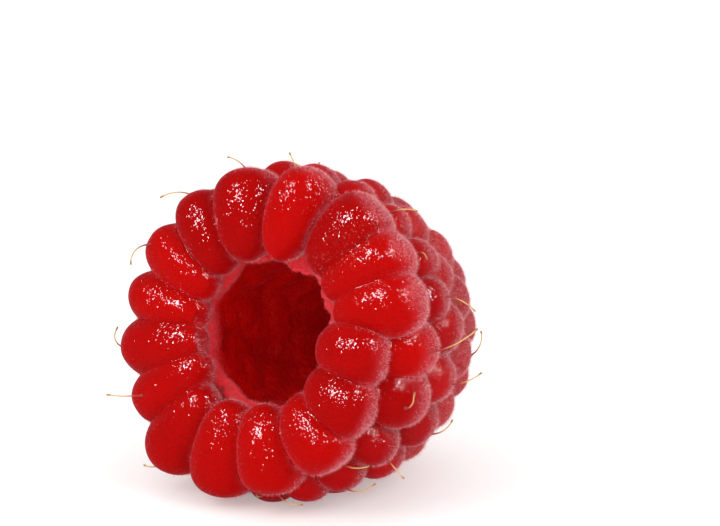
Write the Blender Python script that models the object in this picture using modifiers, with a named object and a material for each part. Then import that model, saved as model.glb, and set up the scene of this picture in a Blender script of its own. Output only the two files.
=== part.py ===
"""Picked raspberry, lying on its side with its hollow open to the front.

The fruit is one solid: a cup of grown-together drupelets round the hollow that the
core left.  A dry style, the thread left over from the flower, still stands on some
of the drupelets.  Metres, +Z up.  The mouth faces -Y and the tail points to +Y.
"""

import math
import random
from collections import namedtuple

import bmesh
import bpy
from mathutils import Matrix, Vector

MM = 0.001

# Envelope of the fruit, in its own frame: +Y along the axis, 0 at the mouth.
WIDEST_RADIUS = 10.7 * MM
WIDEST_AT = 4.8 * MM
FRUIT_LENGTH = 19.4 * MM
TAIL_DROP = math.radians(11.5)      # the tail rests lower than the mouth
PRESSED_FLAT = 0.5 * MM           # how far the soft underside gives way to the floor

# Drupelets
RIM_LEAN = math.radians(18.0)      # outer ends of the rim drupelets lean back
RIM_HALF_DEPTH = 2.25 * MM
DRUPELET_HALF_DEPTH = 2.7 * MM
DRUPELET_HALF_LENGTH = 2.1 * MM
SMALLEST_HALF_WIDTH = 1.75 * MM
LARGEST_HALF_WIDTH = 2.2 * MM
SWELL = 1.17                       # neighbours swell into each other by this much
RIM_SWELL = 1.36
FULLNESS = 2.3                     # 2 is an ellipsoid, more is fuller
WEDGE_ACROSS = 0.5                 # share of the wedge that shows in a drupelet's width
WEDGE_THROUGH = 0.75               # and in its thickness
PLACE_WANDER = 0.16 * MM
SIZE_WANDER = 0.05
LAYOUT_SEED = 11

# Rim: angle round the mouth, inner radius, outer radius, place along the axis, plumpness.
RIM = (
    (105, 4.4, 10.2, 2.3, 1.0), (78, 4.7, 10.7, 2.4, 0.76), (52, 5.4, 11.2, 3.0, 1.05),
    (36, 5.2, 11.2, 3.3, 1.2), (19, 5.4, 11.2, 3.3, 1.1), (-1, 4.5, 9.2, 2.5, 1.12),
    (-26, 4.7, 9.4, 2.5, 1.08), (-48, 4.7, 9.8, 2.4, 0.98), (-76, 4.4, 9.9, 2.3, 0.96),
    (-101, 4.4, 10.7, 2.3, 0.98), (-126, 4.8, 11.7, 2.5, 0.95), (-145, 3.9, 10.5, 2.3, 1.1),
    (-166, 3.7, 10.4, 2.2, 1.15), (173, 3.8, 10.0, 2.3, 1.02), (151, 4.0, 10.0, 2.3, 1.02),
    (129, 4.3, 9.9, 2.3, 0.98),
)
# Shoulder: angle, place along the axis and plumpness of the drupelets behind the rim.
SHOULDER = (
    (84, 5.0, 1.0), (67, 5.2, 1.0), (53, 6.6, 1.0), (37, 7.2, 1.0), (20, 7.4, 1.0),
    (1, 5.4, 1.2), (-18, 5.4, 1.15), (-38, 5.0, 1.0), (-55, 4.8, 1.0), (-71, 4.8, 1.0),
    (-88, 4.8, 1.0), (-106, 4.8, 1.0), (-126, 5.0, 1.0), (-146, 5.0, 1.0), (-167, 5.0, 1.0),
    (172, 5.0, 1.0), (151, 5.0, 1.0), (132, 5.0, 1.0), (115, 5.0, 1.0), (99, 5.0, 1.0),
)
# Rows from the shoulder to the tail: angle along the envelope, count, first angle.
ROWS = (
    (17, 17, -10), (30, 15, -2), (43, 13, 10), (56, 10, -5), (69, 6, 12), (82, 3, 40),
)

# Hollow left by the core: radius at places along the axis.
HOLLOW = (
    (-1.0, 4.3), (1.5, 4.0), (2.8, 4.3), (3.6, 4.8), (5.0, 4.9), (8.0, 4.5), (10.0, 3.9),
    (13.0, 3.0), (15.0, 2.0), (16.2, 0.9), (16.5, 0.0),
)
CORE_INSET = 1.9 * MM              # solid flesh starts this far under the envelope
FLESH_STARTS_AT = 4.0 * MM
TURN_STEPS = 40

# Mesh fineness
SKIN_VOXEL = 0.42 * MM
KEPT_SHARE = 0.26
SPHERE_SEGMENTS = 20
SPHERE_RINGS = 12

# Styles
STYLE_RADIUS = 0.06 * MM
STYLE_ROOT_GAP = 0.25 * MM
STYLE_POINTS = 8
STYLE_FIRST_TURN = 0.3             # share of its bend that a style has at its root
STYLE_CLEAR_OF_FLOOR = 0.15 * MM
STYLE_SETTLES = 0.2 * MM           # how softly a style comes down onto the floor
# Row, place in the row, how far the foot sits off the pole to the mouth, lean, bend, length.
STYLES = (
    (0, 0, 15, 40, 75, 1.4), (0, 1, 45, 10, 25, 1.4), (0, 15, 15, 30, 95, 2.4),
    (0, 14, 60, 70, 100, 2.8), (0, 12, 30, 230, 105, 2.6), (0, 11, 75, 210, 35, 2.2),
    (0, 10, 15, 200, 65, 1.8), (0, 8, 15, 350, 95, 2.0), (1, 10, 45, 30, 75, 1.4),
    (0, 7, 0, 350, 75, 1.8), (1, 7, 0, 250, 35, 1.6), (1, 8, 15, 0, 105, 2.6), (1, 6, 30, 30, 65, 3.2),
    (2, 16, 0, 350, 105, 1.8), (1, 5, 0, 320, 65, 3.2), (1, 4, 0, 230, 85, 2.2),
    (2, 0, 0, 330, 65, 2.0), (1, 2, 30, 230, 105, 1.8), (1, 3, 30, 150, 55, 2.0),
    (3, 0, 0, 350, 115, 1.8), (3, 6, 0, 160, 65, 2.5), (2, 7, 0, 20, 60, 2.4),
    (2, 10, 0, 340, 70, 2.6), (1, 14, 0, 200, 60, 2.3), (3, 9, 0, 10, 60, 2.7),
    (3, 8, 0, 190, 75, 2.3), (4, 5, 0, 40, 60, 2.8), (4, 9, 0, 300, 65, 2.6), (5, 6, 0, 240, 60, 2.7),
    (5, 8, 0, 120, 50, 2.4), (6, 1, 0, 60, 65, 2.5), (6, 4, 0, 300, 60, 2.4), (7, 1, 0, 0, 70, 2.4),
    (3, 5, 0, 150, 60, 2.3), (3, 7, 0, 30, 65, 2.5), (4, 4, 0, 200, 55, 2.4), (4, 7, 0, 330, 70, 2.2),
    (5, 4, 0, 100, 60, 2.5), (5, 5, 0, 20, 65, 2.3),
)

Drupelet = namedtuple(
    "Drupelet", "row middle pole side along half_depth half_width half_length wedge")
Finish = namedtuple("Finish", "colour roughness metallic")

SKIN_FINISH = Finish((0.50, 0.008, 0.012, 1.0), 0.25, 0.0)
STYLE_FINISH = Finish((0.48, 0.24, 0.07, 1.0), 0.6, 0.0)


def outward(angle):
    """Direction from the axis at an angle round it: 0 is +X, 90 degrees is up."""
    return Vector((math.cos(angle), 0.0, math.sin(angle)))


def round_axis(angle):
    """Direction that runs round the axis at an angle."""
    return Vector((-math.sin(angle), 0.0, math.cos(angle)))


def rim_drupelets():
    """The long drupelets that stand round the mouth like petals."""
    drupelets = []
    for place, (degrees, inner, outer, at, plumpness) in enumerate(RIM):
        before = RIM[place - 1][0]
        after = RIM[(place + 1) % len(RIM)][0]
        share = math.radians(((before - after) % 360) / 2)
        angle = math.radians(degrees)
        middle_radius = (inner + outer) / 2 * MM
        pole = outward(angle) * math.cos(RIM_LEAN) + Vector((0.0, math.sin(RIM_LEAN), 0.0))
        side = round_axis(angle)
        middle = outward(angle) * middle_radius + Vector((0.0, at * MM, 0.0))
        half_width = share * middle_radius / 2 * RIM_SWELL * plumpness
        half_depth = (outer - inner) / 2 * MM
        wedge = (outer - inner) / (outer + inner)
        drupelets.append(Drupelet(0, middle, pole, side, pole.cross(side),
                                  half_depth, half_width, RIM_HALF_DEPTH, wedge))
    return drupelets


def envelope_drupelet(row, angle, along_angle, spacing, chance):
    """One drupelet whose outer end touches the envelope of the fruit."""
    tail_reach = FRUIT_LENGTH - WIDEST_AT
    radius = WIDEST_RADIUS * math.cos(along_angle)
    slope = Vector((math.cos(along_angle) / WIDEST_RADIUS, math.sin(along_angle) / tail_reach))
    slope.normalize()
    pole = outward(angle) * slope.x + Vector((0.0, slope.y, 0.0))
    side = round_axis(angle)
    along = pole.cross(side)
    size = 1 + chance.uniform(-SIZE_WANDER, SIZE_WANDER)
    depth = DRUPELET_HALF_DEPTH * size
    tip = outward(angle) * radius + Vector((0.0, WIDEST_AT + tail_reach * math.sin(along_angle), 0.0))
    middle = tip - pole * depth
    middle += side * chance.uniform(-PLACE_WANDER, PLACE_WANDER)
    middle += along * chance.uniform(-PLACE_WANDER, PLACE_WANDER)
    half_width = spacing * max(radius - DRUPELET_HALF_DEPTH / 2, 0.0) / 2 * SWELL
    half_width = min(max(half_width, SMALLEST_HALF_WIDTH), LARGEST_HALF_WIDTH) * size
    half_length = DRUPELET_HALF_LENGTH * size
    return Drupelet(row, middle, pole, side, along, depth, half_width, half_length, 0.0)


def all_drupelets():
    """Every drupelet of the fruit, listed row by row from the mouth to the tail."""
    chance = random.Random(LAYOUT_SEED)
    rows = [rim_drupelets()]
    shoulder = []
    for place, (degrees, at, plumpness) in enumerate(SHOULDER):
        before = SHOULDER[place - 1][0]
        after = SHOULDER[(place + 1) % len(SHOULDER)][0]
        share = math.radians(((before - after) % 360) / 2)
        along_angle = math.asin((at * MM - WIDEST_AT) / (FRUIT_LENGTH - WIDEST_AT))
        plain = envelope_drupelet(1, math.radians(degrees), along_angle, share, chance)
        shoulder.append(plain._replace(half_width=plain.half_width * plumpness,
                                       half_length=plain.half_length * plumpness))
    rows.append(shoulder)
    for row, (along_degrees, count, first) in enumerate(ROWS, start=2):
        spacing = 2 * math.pi / count
        rows.append([
            envelope_drupelet(row, math.radians(first) + spacing * place,
                              math.radians(along_degrees), spacing, chance)
            for place in range(count)
        ])
    return rows


def drupelet_matrix(drupelet):
    """Matrix that turns a unit ball into the drupelet, its pole along local Z."""
    turn = Matrix((drupelet.side, drupelet.along, drupelet.pole)).transposed().to_4x4()
    size = Matrix.Diagonal((drupelet.half_width, drupelet.half_length, drupelet.half_depth, 1.0))
    return Matrix.Translation(drupelet.middle) @ turn @ size


def lowest_point(drupelets, placement):
    """Height of the lowest point of all drupelets after the fruit is laid down."""
    heights = []
    for drupelet in drupelets:
        ball = placement @ drupelet_matrix(drupelet)
        reach = math.sqrt(ball[2][0] ** 2 + ball[2][1] ** 2 + ball[2][2] ** 2)
        heights.append(ball[2][3] - reach)
    return min(heights)


def clear_scene():
    """Remove whatever the scene holds."""
    for thing in list(bpy.data.objects):
        bpy.data.objects.remove(thing, do_unlink=True)


def make_collection(name):
    """A collection linked to the scene."""
    collection = bpy.data.collections.new(name)
    bpy.context.scene.collection.children.link(collection)
    return collection


def make_material(name, finish):
    """A Principled material of one colour."""
    material = bpy.data.materials.new(name)
    material.use_nodes = True
    shader = material.node_tree.nodes["Principled BSDF"]
    shader.inputs["Base Color"].default_value = finish.colour
    shader.inputs["Roughness"].default_value = finish.roughness
    shader.inputs["Metallic"].default_value = finish.metallic
    return material


def mesh_object(name, shape, collection, parent):
    """An object made from a bmesh, placed under the fruit's empty."""
    mesh = bpy.data.meshes.new(name)
    shape.to_mesh(mesh)
    shape.free()
    thing = bpy.data.objects.new(name, mesh)
    collection.objects.link(thing)
    thing.parent = parent
    return thing


def make_cutter(thing):
    """Mark an object as a tool that only cuts."""
    thing.hide_render = True
    thing.display_type = "WIRE"
    return thing


def hollow_cutter(collection, parent):
    """The turned space that the core left, open at the mouth."""
    shape = bmesh.new()
    profile = [shape.verts.new((radius * MM, 0.0, -at * MM)) for at, radius in HOLLOW]
    top = shape.verts.new((0.0, 0.0, -HOLLOW[0][0] * MM))
    profile.insert(0, top)
    for upper, lower in zip(profile, profile[1:]):
        shape.edges.new((upper, lower))
    cutter = mesh_object("hollow_cutter", shape, collection, parent)
    cutter.matrix_basis = Matrix.Rotation(math.radians(90.0), 4, "X")
    screw = cutter.modifiers.new("turned", "SCREW")
    screw.axis = "Z"
    screw.steps = TURN_STEPS
    screw.render_steps = TURN_STEPS
    screw.use_merge_vertices = True
    screw.merge_threshold = 0.00001
    return make_cutter(cutter)


def floor_cutter(collection):
    """A block whose top is the floor that the soft underside is pressed against."""
    size = 60.0 * MM
    shape = bmesh.new()
    bmesh.ops.create_cube(shape, size=size, matrix=Matrix.Translation((0.0, 0.0, -size / 2)))
    return make_cutter(mesh_object("floor_cutter", shape, collection, None))


def swollen(point, wedge):
    """Move a point of the unit ball to the fuller shape, thicker towards its pole."""
    ring = math.hypot(point.x, point.y)
    full = point / (ring ** FULLNESS + abs(point.z) ** FULLNESS) ** (1 / FULLNESS)
    across = 1 + WEDGE_ACROSS * wedge * full.z
    through = 1 + WEDGE_THROUGH * wedge * full.z
    return Vector((full.x * across, full.y * through, full.z))


def add_drupelet(shape, drupelet):
    """Add one full drupelet to the shape."""
    placing = drupelet_matrix(drupelet)
    ball = bmesh.ops.create_uvsphere(shape, u_segments=SPHERE_SEGMENTS, v_segments=SPHERE_RINGS,
                                     radius=1.0)
    for vertex in ball["verts"]:
        vertex.co = placing @ swollen(vertex.co, drupelet.wedge)


def add_flesh(shape):
    """The flesh that fills the fruit under the creases, from just behind the mouth."""
    radius = WIDEST_RADIUS - CORE_INSET
    tail_reach = FRUIT_LENGTH - WIDEST_AT - CORE_INSET
    mouth_reach = WIDEST_AT - FLESH_STARTS_AT
    ball = bmesh.ops.create_uvsphere(shape, u_segments=2 * SPHERE_SEGMENTS,
                                     v_segments=2 * SPHERE_RINGS, radius=1.0)
    for vertex in ball["verts"]:
        reach = tail_reach if vertex.co.y > 0 else mouth_reach
        vertex.co = (vertex.co.x * radius, WIDEST_AT + vertex.co.y * reach, vertex.co.z * radius)


def build_fruit(rows, collection, cutters, parent):
    """Grow all drupelets and the flesh under them into one hollow cup."""
    shape = bmesh.new()
    for row in rows:
        for drupelet in row:
            add_drupelet(shape, drupelet)
    add_flesh(shape)
    fruit = mesh_object("fruit", shape, collection, parent)
    grown = fruit.modifiers.new("grown_together", "REMESH")
    grown.mode = "VOXEL"
    grown.voxel_size = SKIN_VOXEL
    lighter = fruit.modifiers.new("lighter", "DECIMATE")
    lighter.ratio = KEPT_SHARE
    for name, cutter in (("hollow", cutters["hollow"]), ("underside", cutters["floor"])):
        cut = fruit.modifiers.new(name, "BOOLEAN")
        cut.operation = "DIFFERENCE"
        cut.solver = "EXACT"
        cut.object = cutter
    fruit.data.materials.append(make_material("drupelet_skin", SKIN_FINISH))
    return fruit


def style_path(drupelet, foot_degrees, lean_degrees, bend_degrees, length, placement):
    """Points of one dry style, from its foot on the drupelet to its free end."""
    foot = math.radians(foot_degrees)
    lean = math.radians(lean_degrees)
    bend = math.radians(bend_degrees)
    spot = swollen(Vector((0.0, math.sin(foot), math.cos(foot))), drupelet.wedge)
    up = drupelet.along * (math.sin(foot) / drupelet.half_length)
    up += drupelet.pole * (math.cos(foot) / drupelet.half_depth)
    up.normalize()
    aside = drupelet.side * math.cos(lean) + up.cross(drupelet.side) * math.sin(lean)
    point = drupelet_matrix(drupelet) @ spot + up * STYLE_ROOT_GAP
    step = length * MM / (STYLE_POINTS - 1)
    points = [placement @ point]
    for number in range(1, STYLE_POINTS):
        share = (number - 0.5) / (STYLE_POINTS - 1)
        turned = bend * (STYLE_FIRST_TURN + (1 - STYLE_FIRST_TURN) * share)
        point = point + (up * math.cos(turned) + aside * math.sin(turned)) * step
        laid = placement @ point
        above = laid.z - STYLE_CLEAR_OF_FLOOR
        laid.z = STYLE_CLEAR_OF_FLOOR + (above + math.hypot(above, STYLE_SETTLES)) / 2
        points.append(laid)
    return points


def build_style(name, points, material, collection):
    """One dry style as a thin round thread with closed ends."""
    curve = bpy.data.curves.new(name, "CURVE")
    curve.dimensions = "3D"
    curve.bevel_depth = STYLE_RADIUS
    curve.bevel_resolution = 1
    curve.use_fill_caps = True
    spline = curve.splines.new("POLY")
    spline.points.add(len(points) - 1)
    for spline_point, point in zip(spline.points, points):
        spline_point.co = (*point, 1.0)
    thing = bpy.data.objects.new(name, curve)
    collection.objects.link(thing)
    curve.materials.append(material)
    return thing


def world_box(things):
    """Lowest and highest corner of the evaluated meshes, in world space."""
    bpy.context.view_layer.update()
    depsgraph = bpy.context.evaluated_depsgraph_get()
    corners = []
    for thing in things:
        evaluated = thing.evaluated_get(depsgraph)
        mesh = evaluated.to_mesh()
        corners.extend(evaluated.matrix_world @ vertex.co for vertex in mesh.vertices)
        evaluated.to_mesh_clear()
    low = Vector(min(corner[axis] for corner in corners) for axis in range(3))
    high = Vector(max(corner[axis] for corner in corners) for axis in range(3))
    return low, high


def main():
    """Build the raspberry and stand it on the origin."""
    clear_scene()
    collection = make_collection("raspberry")
    cutter_collection = make_collection("cutters")
    rows = all_drupelets()
    every_drupelet = [drupelet for row in rows for drupelet in row]
    tilt = Matrix.Rotation(-TAIL_DROP, 4, "X")
    lift = -lowest_point(every_drupelet, tilt) - PRESSED_FLAT
    placement = Matrix.Translation((0.0, 0.0, lift)) @ tilt
    lying = bpy.data.objects.new("lying", None)
    collection.objects.link(lying)
    lying.matrix_world = placement
    cutters = {
        "hollow": hollow_cutter(cutter_collection, lying),
        "floor": floor_cutter(cutter_collection),
    }
    fruit = build_fruit(rows, collection, cutters, lying)
    style_material = make_material("dry_style", STYLE_FINISH)
    styles = []
    for number, (row, place, foot, lean, bend, length) in enumerate(STYLES, start=1):
        points = style_path(rows[row][place], foot, lean, bend, length, placement)
        styles.append(build_style(f"style_{number:02d}", points, style_material, collection))
    low, high = world_box([fruit] + styles)
    shift = Vector((-(low.x + high.x) / 2, -(low.y + high.y) / 2, 0.0))
    lying.location += shift
    for style in styles:
        style.location += shift


main()
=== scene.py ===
"""Looks of a picked raspberry that lies on its side with its hollow to the front.

The fruit is one skin: every drupelet is swollen into its neighbours and the whole
is one closed surface, glossy at the mouth and velvety with down towards the tail.
Dry styles and the fine down itself are pieces of their own.
"""

from __future__ import annotations

import logging
import math
import random
from dataclasses import dataclass, field, replace
from enum import Enum

import bpy
import numpy as np
from mathutils import Matrix, Vector, noise


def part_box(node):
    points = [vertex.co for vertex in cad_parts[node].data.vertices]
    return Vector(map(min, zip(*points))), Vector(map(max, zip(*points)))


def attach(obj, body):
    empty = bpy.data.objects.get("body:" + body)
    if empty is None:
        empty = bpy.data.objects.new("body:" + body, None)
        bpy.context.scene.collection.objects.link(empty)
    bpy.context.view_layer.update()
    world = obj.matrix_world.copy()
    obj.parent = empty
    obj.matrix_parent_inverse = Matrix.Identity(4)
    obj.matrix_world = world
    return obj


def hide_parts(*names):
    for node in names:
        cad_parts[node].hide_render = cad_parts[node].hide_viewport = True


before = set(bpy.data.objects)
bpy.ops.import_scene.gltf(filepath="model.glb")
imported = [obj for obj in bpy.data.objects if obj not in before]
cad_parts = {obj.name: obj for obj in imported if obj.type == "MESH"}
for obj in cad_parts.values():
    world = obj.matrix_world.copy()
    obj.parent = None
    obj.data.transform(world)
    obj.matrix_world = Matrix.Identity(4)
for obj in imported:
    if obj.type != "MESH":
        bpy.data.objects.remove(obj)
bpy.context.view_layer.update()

MM = 0.001
BODY = "root"

# Sockets of a Mix node that blend two colours.
COLOUR_A = 6
COLOUR_B = 7
COLOUR_OUT = 2

log = logging.getLogger("raspberry")


# --------------------------------------------------------------------------
# Shared helpers
# --------------------------------------------------------------------------


def linear(colour: str) -> tuple[float, float, float, float]:
    """Turn an sRGB hex colour into the linear colour that shaders take.

    Args:
        colour: six hex digits after a hash.

    Returns:
        Red, green, blue and full alpha.
    """
    channels = [int(colour[start:start + 2], 16) / 255 for start in (1, 3, 5)]
    toned = [c / 12.92 if c <= 0.04045 else ((c + 0.055) / 1.055) ** 2.4 for c in channels]
    return (*toned, 1.0)


def add_node(
    tree: bpy.types.NodeTree,
    kind: str,
    settings: dict[str, object] | None = None,
    inputs: dict[str | int, object] | None = None,
) -> bpy.types.Node:
    """Add one node, with its settings, its fixed inputs and its links.

    Args:
        tree: node tree that the node goes into.
        kind: the node's type name.
        settings: properties of the node itself.
        inputs: a socket to link from, or a value, for each input by name or number.

    Returns:
        The new node.
    """
    node = tree.nodes.new(kind)
    for name, value in (settings or {}).items():
        setattr(node, name, value)
    for key, value in (inputs or {}).items():
        if isinstance(value, bpy.types.NodeSocket):
            tree.links.new(value, node.inputs[key])
        else:
            node.inputs[key].default_value = value
    return node


def smooth_step(value: np.ndarray) -> np.ndarray:
    """Ease values from 0 to 1, flat outside that range."""
    eased = np.clip(value, 0.0, 1.0)
    return eased * eased * (3.0 - 2.0 * eased)


def outward(angle: float) -> Vector:
    """Direction from the fruit's axis: 0 is +X and a quarter turn is up."""
    return Vector((math.cos(angle), 0.0, math.sin(angle)))


def round_axis(angle: float) -> Vector:
    """Direction that runs round the fruit's axis at an angle."""
    return Vector((-math.sin(angle), 0.0, math.cos(angle)))


def empty_material(name: str) -> bpy.types.Material:
    """Add a material whose node tree is still empty.

    Args:
        name: the material's name.

    Returns:
        The material.
    """
    material = bpy.data.materials.new(name)
    material.use_nodes = True
    material.node_tree.nodes.clear()
    return material


def place_in_mm(tree: bpy.types.NodeTree) -> bpy.types.NodeSocket:
    """Place on the piece in millimetres, for the material's patterns to follow.

    Args:
        tree: the material's nodes.

    Returns:
        The place.
    """
    place = add_node(tree, "ShaderNodeTexCoord").outputs["Object"]
    scaled = add_node(tree, "ShaderNodeMapping", inputs={"Vector": place, "Scale": (1 / MM,) * 3})
    return scaled.outputs["Vector"]


@dataclass(frozen=True)
class Fade:
    """A smooth rise from 0: the value it starts at, how wide it is, and how high it ends."""

    start: float
    width: float
    height: float = 1.0

    def of(self, values: np.ndarray) -> np.ndarray:
        """Follow the rise for many values at once."""
        return smooth_step((values - self.start) / self.width) * self.height


class Workbench:
    """Operator calls that the pieces share."""

    @staticmethod
    def pick(thing: bpy.types.Object) -> None:
        """Select one object alone and make it active.

        Args:
            thing: the object.
        """
        bpy.ops.object.select_all(action="DESELECT")
        thing.select_set(True)
        bpy.context.view_layer.objects.active = thing

    @staticmethod
    def ball(fineness: int, name: str) -> bpy.types.Object:
        """Add a unit ball of even triangles.

        Args:
            fineness: number of subdivisions.
            name: name of the new object.

        Returns:
            The ball, at the origin.
        """
        bpy.ops.object.select_all(action="DESELECT")
        bpy.ops.mesh.primitive_ico_sphere_add(subdivisions=fineness, radius=1.0)
        thing = bpy.context.active_object
        thing.name = name
        return thing

    @staticmethod
    def copy_of(master: bpy.types.Object, name: str) -> bpy.types.Object:
        """Copy a modelled object, with a mesh of its own.

        Args:
            master: object that is copied.
            name: name of the copy.

        Returns:
            The copy.
        """
        twin = bpy.data.objects.new(name, master.data.copy())
        bpy.context.scene.collection.objects.link(twin)
        return twin

    @staticmethod
    def combine(base: bpy.types.Object, other: bpy.types.Object, way: str) -> bpy.types.Object:
        """Join or cut one closed shape with another, and use the other up.

        Args:
            base: shape that is kept.
            other: shape that is joined on or cut away.
            way: the Boolean operation's name.

        Returns:
            The kept shape.
        """
        step = base.modifiers.new("combine", "BOOLEAN")
        step.operation = way
        step.solver = "MANIFOLD"
        step.object = other
        Workbench.pick(base)
        bpy.ops.object.modifier_apply(modifier=step.name)
        bpy.data.objects.remove(other, do_unlink=True)
        return base

    @staticmethod
    def unite_all(shapes: list[bpy.types.Object]) -> bpy.types.Object:
        """Join many closed shapes into one, in pairs so that no join grows too heavy.

        Args:
            shapes: shapes that are joined and used up.

        Returns:
            The one shape that they make.
        """
        while len(shapes) > 1:
            pairs = zip(shapes[0::2], shapes[1::2])
            joined = [Workbench.combine(base, other, "UNION") for base, other in pairs]
            if len(shapes) % 2:
                joined.append(shapes[-1])
            shapes = joined
        return shapes[0]

    @staticmethod
    def finish_smooth(thing: bpy.types.Object, crease: float) -> None:
        """Shade a piece smooth and keep its creases sharp.

        Args:
            thing: the piece.
            crease: smallest angle that counts as a crease, in degrees.
        """
        Workbench.pick(thing)
        bpy.ops.object.shade_smooth_by_angle(angle=math.radians(crease))

    @staticmethod
    def write_attribute(mesh: bpy.types.Mesh, name: str, values: np.ndarray) -> None:
        """Store one number for each point of a mesh."""
        layer = mesh.attributes.new(name, "FLOAT", "POINT")
        layer.data.foreach_set("value", values.astype(np.float32))


# --------------------------------------------------------------------------
# The fruit's plan
# --------------------------------------------------------------------------


class Skin(Enum):
    """Kinds of drupelet skin, by the slot that they take on the fruit."""

    FRESH = 0
    DOWNY = 1
    WALL = 2


# How much of its wedge a drupelet shows across its width and across its thickness.
WEDGE_WAYS = np.array((0.5, 0.75))
# How full a drupelet is: 2 is an ellipsoid, more is fuller.
FULLNESS = 2.3


@dataclass(frozen=True)
class Drupelet:
    """One drupelet: where it sits and how it is stretched."""

    row: int
    place: int
    middle: Vector
    pole: Vector
    side: Vector
    half_width: float
    half_length: float
    half_depth: float
    wedge: float = 0.0

    @property
    def along(self) -> Vector:
        """Direction across the pole and the side."""
        return self.pole.cross(self.side)

    def matrix(self) -> Matrix:
        """Matrix that turns a unit ball into the drupelet, its pole along local Z."""
        turn = Matrix((self.side, self.along, self.pole)).transposed().to_4x4()
        sizes = (self.half_width, self.half_length, self.half_depth, 1.0)
        return Matrix.Translation(self.middle) @ turn @ Matrix.Diagonal(sizes)

    def foot(self, off_pole: float) -> tuple[Vector, Vector]:
        """Where a style can stand on the drupelet.

        Args:
            off_pole: angle from the pole towards the mouth.

        Returns:
            The point on the skin and the outward direction there, in the fruit's own frame.
        """
        ahead, deep = math.sin(off_pole), math.cos(off_pole)
        full = (ahead ** FULLNESS + deep ** FULLNESS) ** (1 / FULLNESS)
        through = 1 + self.wedge * WEDGE_WAYS[1] * deep / full
        spot = self.matrix() @ Vector((0.0, ahead / full * through, deep / full))
        up = self.along * (ahead / self.half_length) + self.pole * (deep / self.half_depth)
        return spot, up.normalized()


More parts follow.
